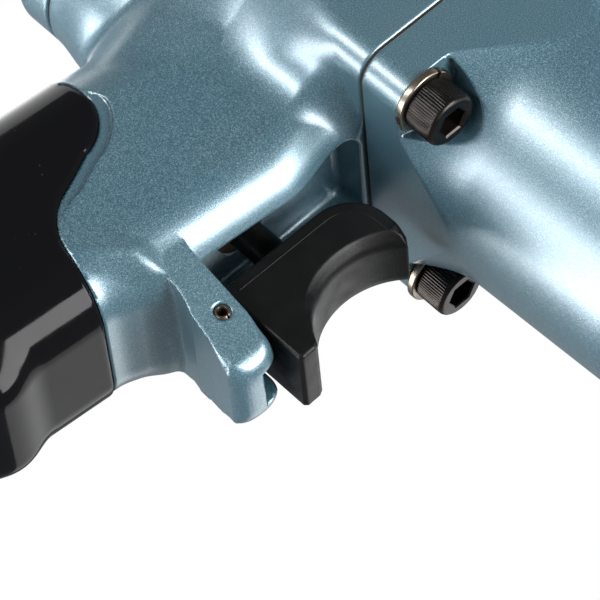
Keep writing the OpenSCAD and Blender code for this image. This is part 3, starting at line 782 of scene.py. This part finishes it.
PAINT = paint_material()
GRIP = gloss_black_material()
TRIGGER = matte_black_material("trigger_nylon")
KNOB = matte_black_material("knob_nylon", 0.022, 0.5)
OXIDE = metal_material("black_oxide", (0.014, 0.013, 0.0125), (0.030, 0.025, 0.022),
                       (0.24, 0.38), 0.85, 3500)
SPRING = metal_material("spring_steel", (0.26, 0.23, 0.19), (0.17, 0.14, 0.11))
# Bronze darkened to near black: painted shade for the bush in the recess behind the trigger
SHADE_DARKENED_BRONZE = metal_material("bronze_with_painted_shade", (0.050, 0.036, 0.020), (0.030, 0.022, 0.014),
                             (0.45, 0.6))

# Material of each of the record's slots, for the CAD pieces that stay visible
SLOT_MATERIALS = {
    "housing_paint": PAINT,
    "grip_black": GRIP,
    "trigger_black": TRIGGER,
    "knob_black": KNOB,
    "black_oxide": OXIDE,
    "spring_steel": SPRING,
    "steel": metal_material("plain_steel", (0.50, 0.50, 0.51), (0.38, 0.38, 0.40)),
    "dark_steel": metal_material("hardened_steel", (0.20, 0.20, 0.21), (0.12, 0.115, 0.12),
                                 (0.28, 0.45)),
    "bright_steel": metal_material("polished_steel", (0.72, 0.72, 0.73), (0.62, 0.62, 0.64),
                                   (0.10, 0.2)),
    "brass": metal_material("bronze", (0.60, 0.41, 0.16), (0.42, 0.27, 0.10), (0.28, 0.45)),
    "aluminium": metal_material("machined_aluminium", (0.72, 0.73, 0.74), (0.60, 0.61, 0.62),
                                (0.28, 0.4)),
    "iron": metal_material("honed_iron", (0.24, 0.24, 0.245), (0.17, 0.17, 0.175),
                           (0.35, 0.55), 0.9),
    "seal_rubber": matte_black_material("nitrile_rubber", 0.012, 0.6),
    "gasket": fibre_material("gasket_fibre", (0.022, 0.014, 0.009), (0.060, 0.036, 0.022),
                             2500, 0.00004),
    "felt": fibre_material("silencer_felt", (0.34, 0.29, 0.21), (0.62, 0.56, 0.44), 1500),
    "vane": vane_material(),
}
for part in frame["record"]["subparts"]:
    # The bush behind the trigger is bronze too, darkened to near black as painted shade: it sits
    # deep in the shaded recess behind the trigger
    in_shade = part["node"] == "trigger_bush"
    material = SHADE_DARKENED_BRONZE if in_shade else SLOT_MATERIALS[part["material_slot"]]
    for material_slot in NODES[part["node"]].material_slots:
        material_slot.material = material

# ---------------------------------------------------------------------------------------------
# Turned and swept parts
# ---------------------------------------------------------------------------------------------


def lathe(rings, segments):
    """Vertices and faces of a body turned about x. Each ring is (x, r), where r may be a function
    of the angle. Flat faces close the first and the last ring."""
    angles = np.linspace(0, 2 * math.pi, segments, endpoint=False)
    vertices, faces = [], []
    for x, r in rings:
        rs = r(angles) if callable(r) else np.full(segments, float(r))
        along = np.full(segments, float(x))
        vertices.append(np.stack([along, rs * np.cos(angles), rs * np.sin(angles)], 1))
    for row in range(len(rings) - 1):
        for k in range(segments):
            nxt = (k + 1) % segments
            a = row * segments
            faces.append((a + k, a + nxt, a + segments + nxt, a + segments + k))
    last = (len(rings) - 1) * segments
    faces.append(tuple(range(segments - 1, -1, -1)))
    faces.append(tuple(range(last, last + segments)))
    return np.concatenate(vertices), faces


def sweep_ring(profile, centre, a0, a1, count_along, climb=0.0):
    """Sweeps a closed (x, r) profile about x from angle a0 to a1, climbing along x.
    Both ends are capped."""
    vertices, faces = [], []
    count = len(profile)
    for i in range(count_along + 1):
        t = i / count_along
        a = math.radians(a0 + (a1 - a0) * t)
        for px, pr in profile:
            vertices.append((centre[0] + px + climb * t, centre[1] + pr * math.cos(a),
                             centre[2] + pr * math.sin(a)))
    for i in range(count_along):
        for k in range(count):
            nxt = (k + 1) % count
            a, b = i * count, (i + 1) * count
            faces.append((a + k, a + nxt, b + nxt, b + k))
    faces.append(tuple(range(count - 1, -1, -1)))
    faces.append(tuple(range(count_along * count, (count_along + 1) * count)))
    return np.array(vertices), faces


def outward(vertices, faces):
    """Turns the faces of a closed mesh so that they face out."""
    volume = 0.0
    for face in faces:
        a = vertices[face[0]]
        for i in range(1, len(face) - 1):
            volume += np.dot(a, np.cross(vertices[face[i]], vertices[face[i + 1]]))
    return faces if volume > 0 else [tuple(reversed(f)) for f in faces]


def rounded_box_profile(x0, x1, r0, r1, edge):
    """Closed (x, r) outline of a rectangle with rounded corners."""
    corners = ((x1 - edge, r1 - edge, 0), (x0 + edge, r1 - edge, 90),
               (x0 + edge, r0 + edge, 180), (x1 - edge, r0 + edge, 270))
    return [point for cx, cr, a in corners for point in arc((cx, cr), edge, a, a + 90, 3)]


def socket_screw(seat, head_r, head, key, shank_r, length, ridges, forward=1):
    """Socket head cap screw with a knurled head, seated at seat and heading along forward * x.
    Lengths along it run from the seat: the shank behind, the head and its hexagon in front."""
    def hexagon(size):
        return lambda a: size / 2 / np.cos((a + math.pi / 6) % (math.pi / 3) - math.pi / 6)

    def knurl(a):
        return head_r - 0.022 * head_r * (0.5 + 0.5 * np.cos(ridges * a)) ** 2

    top_r = head_r - 0.15 * head_r
    depth = 0.52 * head
    shank = [(-length, 0.2), (-length, shank_r * 0.8), (-length + shank_r * 0.25, shank_r),
             (0, shank_r)]
    side = [(0, head_r - 0.25), (0.12, head_r - 0.06), (0.3, knurl), (head * 0.45, knurl),
            (head * 0.83, knurl), (head * 0.89, head_r - 0.05),
            (head * 0.935, head_r - 0.035 * head_r), (head * 0.97, head_r - 0.08 * head_r),
            (head, top_r), (head, top_r - 0.02)]
    socket = [(head, hexagon(key * 1.13)), (head - 0.02, hexagon(key * 1.12)),
              (head - key * 0.05, hexagon(key)), (head - key * 0.07, hexagon(key)),
              (head - depth, hexagon(key)), (head - depth - 0.01, hexagon(key * 0.98)),
              (head - depth - key * 0.22, 0.02)]
    vertices, faces = lathe(shank + side + socket, ridges * 4)
    vertices[:, 0] *= forward
    vertices = vertices + np.array(seat)
    return vertices, outward(vertices, faces)


def mark_sharp_edges(piece, degrees=28):
    """Marks edges sharper than this so that smooth shading stops there."""
    mesh = bmesh.new()
    mesh.from_mesh(piece.data)
    limit = math.radians(degrees)
    for edge in mesh.edges:
        edge.smooth = len(edge.link_faces) == 2 and edge.calc_face_angle(0) < limit
    mesh.to_mesh(piece.data)
    mesh.free()


def bead(line, y, r):
    """A six-sided bead of radius r along a line of (x, z) points at one y, closed at both ends."""
    vertices, faces = [], []
    for i, (x, z) in enumerate(line):
        ahead = line[min(i + 1, len(line) - 1)]
        behind = line[max(i - 1, 0)]
        along = np.array([ahead[0] - behind[0], 0, ahead[1] - behind[1]])
        along = along / np.linalg.norm(along)
        flat = np.array([-along[2], 0, along[0]])
        for a in range(6):
            turn = math.radians(60 * a)
            vertices.append(np.array([x, y, z]) + r * math.cos(turn) * flat
                            + r * math.sin(turn) * np.array([0, 1, 0]))
        if i:
            base = 6 * (i - 1)
            faces += [(base + a, base + (a + 1) % 6, base + 6 + (a + 1) % 6, base + 6 + a)
                      for a in range(6)]
    faces += [tuple(range(5, -1, -1)), tuple(range(6 * len(line) - 6, 6 * len(line)))]
    vertices = np.array(vertices)
    return vertices, outward(vertices, faces)


def joined(parts):
    """One vertex list and face list from several."""
    vertices, faces, base = [], [], 0
    for part_vertices, part_faces in parts:
        vertices.append(part_vertices)
        faces += [tuple(i + base for i in face) for face in part_faces]
        base += len(part_vertices)
    return np.concatenate(vertices), faces


def grid(*axes):
    """Grid lines along x, y and z, each axis given as the stops of steps()."""
    return [steps(*axis) for axis in axes]


# ---------------------------------------------------------------------------------------------
# Pieces
# ---------------------------------------------------------------------------------------------

FINE = 0.45
COARSE = 1.0

implicit_piece("motor_housing_casting", housing_field,
               grid(((-64.5, COARSE), (-50, FINE), (22, FINE)),
                    ((-33, FINE), (-4, COARSE), (33, COARSE)),
                    ((-160, COARSE), (-95, FINE), (-12, COARSE), (33, COARSE))),
               PAINT, "housing", ("motor_housing",))

CASE_ACROSS = ((-32, FINE), (-12, COARSE), (32, COARSE))
implicit_piece("hammer_case_casting", hammer_case_field,
               grid(((-1.2, FINE), (26, 0.7), (78, 0.7)), CASE_ACROSS, CASE_ACROSS),
               PAINT, "housing", ("hammer_case",))

implicit_piece("back_cap_casting", back_cap_field,
               grid(((-77.6, 0.6), (-62, 0.6)), ((-33, 0.8), (33, 0.8)), ((-49, 0.8), (33, 0.8))),
               PAINT, "housing", ("back_cap",))

implicit_piece("trigger_moulding", trigger_field,
               grid(((2.5, 0.3), (24.5, 0.3)), ((-8.4, 0.3), (8.4, 0.3)),
                    ((-74, 0.3), (-36, 0.3))),
               TRIGGER, "trigger_group", ("trigger",))

implicit_piece("grip_moulding", grip_field,
               grid(((-60, 0.7), (4, 0.7)), ((-19.5, 0.7), (19.5, 0.7)),
                    ((-152, COARSE), (-112, 0.55), (-50, 0.55))),
               GRIP, "housing", ("grip_sleeve",))

implicit_piece("reverse_lever", knob_field,
               grid(((-88.6, 0.35), (-75.6, 0.35)), ((-10, 0.35), (10, 0.35)),
                    ((-46, 0.35), (-19, 0.35))),
               KNOB, "reverse_group", ("reverse_knob",))

# Socket head cap screws: M6 through the case's flange, M4 in the back cap's recesses
M6 = {"head_r": 5.0, "head": 6.0, "key": 5.0, "shank_r": 3.0, "length": 24.0, "ridges": 60}
M4 = {"head_r": 3.5, "head": 4.0, "key": 3.0, "shank_r": 2.0, "length": 20.0, "ridges": 42}
# Split spring washers under the M6 heads: the band's section, its turn in degrees, and its climb
WASHER_BAND = rounded_box_profile(0, 1.42, SCREW_WAY, 5.9, 0.28)
WASHER_TURN = 353
WASHER_CLIMB = 0.14
HARD_EDGE = 40
for name, sy, sz, gap_turn in (("near_low", -1, -1, 150), ("near_high", -1, 1, 40),
                               ("far_low", 1, -1, 200), ("far_high", 1, 1, 310)):
    at_y, at_z = sy * SCREW_AT, sz * SCREW_AT
    vertices, faces = socket_screw((FLANGE_T + WASHER_T, at_y, at_z), **M6)
    screw = make_object("case_screw_" + name, to_frame(vertices), faces, OXIDE, "housing",
                        ("case_screws",))
    mark_sharp_edges(screw)
    vertices, faces = sweep_ring(WASHER_BAND, (FLANGE_T + 0.02, at_y, at_z), gap_turn,
                                 gap_turn + WASHER_TURN, 96, WASHER_CLIMB)
    washer = make_object("spring_washer_" + name, to_frame(vertices), outward(vertices, faces),
                         SPRING, "housing", ("spring_washers",))
    mark_sharp_edges(washer, HARD_EDGE)

vertices, faces = joined([socket_screw((CAP_BACK + 5, sy, sz), forward=-1, **M4)
                          for sy, sz in CAP_SCREWS])
cap_screws = make_object("cap_screw_set", to_frame(vertices), faces, OXIDE, "housing",
                         ("cap_screws",))
mark_sharp_edges(cap_screws)

# Roll pin across the guard: a rolled tube with a slot along it, turned to lie along y
outside = [(-PIN_HALF, PIN_BORE_R + 0.1), (-PIN_HALF, PIN_R - 0.28),
           (-PIN_HALF + 0.25, PIN_R - 0.04), (-PIN_HALF + 0.5, PIN_R)]
inside = [(PIN_HALF - 0.15, PIN_BORE_R), (-PIN_HALF + 0.15, PIN_BORE_R)]
profile = outside + [(-along, r) for along, r in reversed(outside)] + inside
vertices, faces = sweep_ring(profile, (0, 0, 0), 12, 356, 72)
vertices = np.stack([vertices[:, 1] + PIN_AT[0], vertices[:, 0], vertices[:, 2] + PIN_AT[1]], 1)
roll_pin = make_object("roll_pin", to_frame(vertices), outward(vertices, faces), SPRING, "housing",
                       ("trigger_pin",))
mark_sharp_edges(roll_pin, HARD_EDGE)

# Raised parting line left by the two halves of the trigger's mould: a fine bead on either side,
# part sunk, that follows the trigger's back and top
LINE_INSET = 2.2
LINE_R = 0.11
LINE_SUNK = 0.03
line = ([(TRIGGER_BACK + LINE_INSET, z) for z in np.linspace(-64.8, -45.5, 30)]
        + arc((TRIGGER_BACK + 8, -45), 8 - LINE_INSET, 178, 92, 26)
        + [(x, TRIGGER_TOP - LINE_INSET) for x in (12.4, 13.4, 14.4)])
vertices, faces = joined([bead(line, side * (TRIGGER_HALF - LINE_SUNK), LINE_R)
                          for side in (-1, 1)])
make_object("trigger_parting_line", to_frame(vertices), faces, TRIGGER, "trigger_group", ())

# ---------------------------------------------------------------------------------------------
# Camera, lights and floor
# ---------------------------------------------------------------------------------------------

# Camera's place, its right and back directions, and its focal length in millimetres
CAMERA_AT = Vector((0.2402, -0.5866, -0.2951))
CAMERA_RIGHT = Vector((0.67997, 0.0608, 0.73071))
CAMERA_BACK = Vector((0.43917, -0.8318, -0.33947))
LENS = 256.9
# Where all the lights point
TARGET = Vector((-0.070, -0.008, -0.052))


def softbox(name, direction, distance, size, power, colour=(1, 1, 1)):
    """A rectangular area light that looks at TARGET from a distance in metres."""
    data = bpy.data.lights.new(name, "AREA")
    data.shape = "RECTANGLE"
    data.size, data.size_y = size
    data.energy = power
    data.color = colour
    light = bpy.data.objects.new(name, data)
    light.location = TARGET + Vector(direction) * distance
    light.rotation_euler = (TARGET - light.location).to_track_quat("-Z", "Y").to_euler()
    bpy.context.scene.collection.objects.link(light)


camera_data = bpy.data.cameras.new("camera")
camera_data.lens = LENS
camera_data.sensor_width = 36
camera_data.clip_end = 20
camera = bpy.data.objects.new("camera", camera_data)
back = CAMERA_BACK.normalized()
right = (CAMERA_RIGHT - CAMERA_RIGHT.dot(back) * back).normalized()
up = back.cross(right)
axes = Matrix((right, up, back)).transposed()
camera.matrix_world = Matrix.Translation(CAMERA_AT) @ axes.to_4x4()
bpy.context.scene.collection.objects.link(camera)
bpy.context.scene.camera = camera

# The floor is a pale disc with a softened rim, just under the tool. It shows where the camera
# sees it, but it casts no shadow and isn't mirrored: the main camera looks up from below it.
FLOOR_X = -0.08
FLOOR_R = 0.2
FLOOR_Z = CAD_BOX[0][2] - 0.0006
FLOOR_T = 0.004
FLOOR_RIM = 0.0015
FLOOR_SIDES = 128
floor_mesh = bmesh.new()
loops = []
for radius, drop in ((FLOOR_R, FLOOR_T), (FLOOR_R, FLOOR_RIM), (FLOOR_R - FLOOR_RIM, 0.0)):
    loops.append([floor_mesh.verts.new((FLOOR_X + radius * math.cos(a), radius * math.sin(a),
                                        FLOOR_Z - drop))
                  for a in np.linspace(0, 2 * math.pi, FLOOR_SIDES, endpoint=False)])
for lower, upper in zip(loops, loops[1:]):
    for k in range(FLOOR_SIDES):
        nxt = (k + 1) % FLOOR_SIDES
        floor_mesh.faces.new((lower[k], lower[nxt], upper[nxt], upper[k]))
floor_mesh.faces.new(loops[-1])
floor_mesh.faces.new(list(reversed(loops[0])))
floor_data = bpy.data.meshes.new("studio_floor")
floor_mesh.to_mesh(floor_data)
floor_mesh.free()
floor = bpy.data.objects.new("studio_floor", floor_data)
bpy.context.scene.collection.objects.link(floor)
paper, paper_tree, paper_shader = new_material("floor_paper", Roughness=0.9)
set_colour(paper_tree, paper_shader,
           ramp(paper_tree, noise(paper_tree, 400, 4), (0.3, 0.80), (0.7, 0.84)))
floor.data.materials.append(paper)
floor.visible_shadow = False
floor.visible_glossy = False
floor.visible_diffuse = False

# White to the camera, and a dim cool fill to everything else
world = bpy.data.worlds.new("studio")
bpy.context.scene.world = world
world.use_nodes = True
tree = world.node_tree
backdrop = tree.nodes["Background"]
backdrop.inputs["Color"].default_value = (1, 1, 1, 1)
backdrop.inputs["Strength"].default_value = 1.0
ambient = add_node(tree, "ShaderNodeBackground", Color=(0.93, 0.97, 1.0, 1), Strength=0.26)
seen = add_node(tree, "ShaderNodeLightPath")
choose = add_node(tree, "ShaderNodeMixShader")
tree.links.new(seen.outputs["Is Camera Ray"], choose.inputs[0])
tree.links.new(ambient.outputs[0], choose.inputs[1])
tree.links.new(backdrop.outputs[0], choose.inputs[2])
tree.links.new(choose.outputs[0], tree.nodes["World Output"].inputs["Surface"])

bpy.context.scene.view_settings.view_transform = "Standard"

softbox("front_softbox", (0.83, -0.44, 0.34), 0.85, (0.55, 0.55), 16)
softbox("top_softbox", (-0.2, 0.35, 0.9), 0.9, (0.9, 0.9), 9)
softbox("rear_softbox", (-0.87, 0.32, 0.34), 0.8, (0.75, 0.7), 2.6)
softbox("back_softbox", (0.44, 0.83, 0.34), 0.9, (0.7, 0.7), 2.4)
softbox("low_strip", (-0.44, -0.72, -0.56), 0.8, (0.55, 0.06), 4.5)
softbox("floor_bounce", (-0.32, 0.12, -0.93), 0.8, (0.6, 0.6), 12, (0.98, 0.98, 1.0))
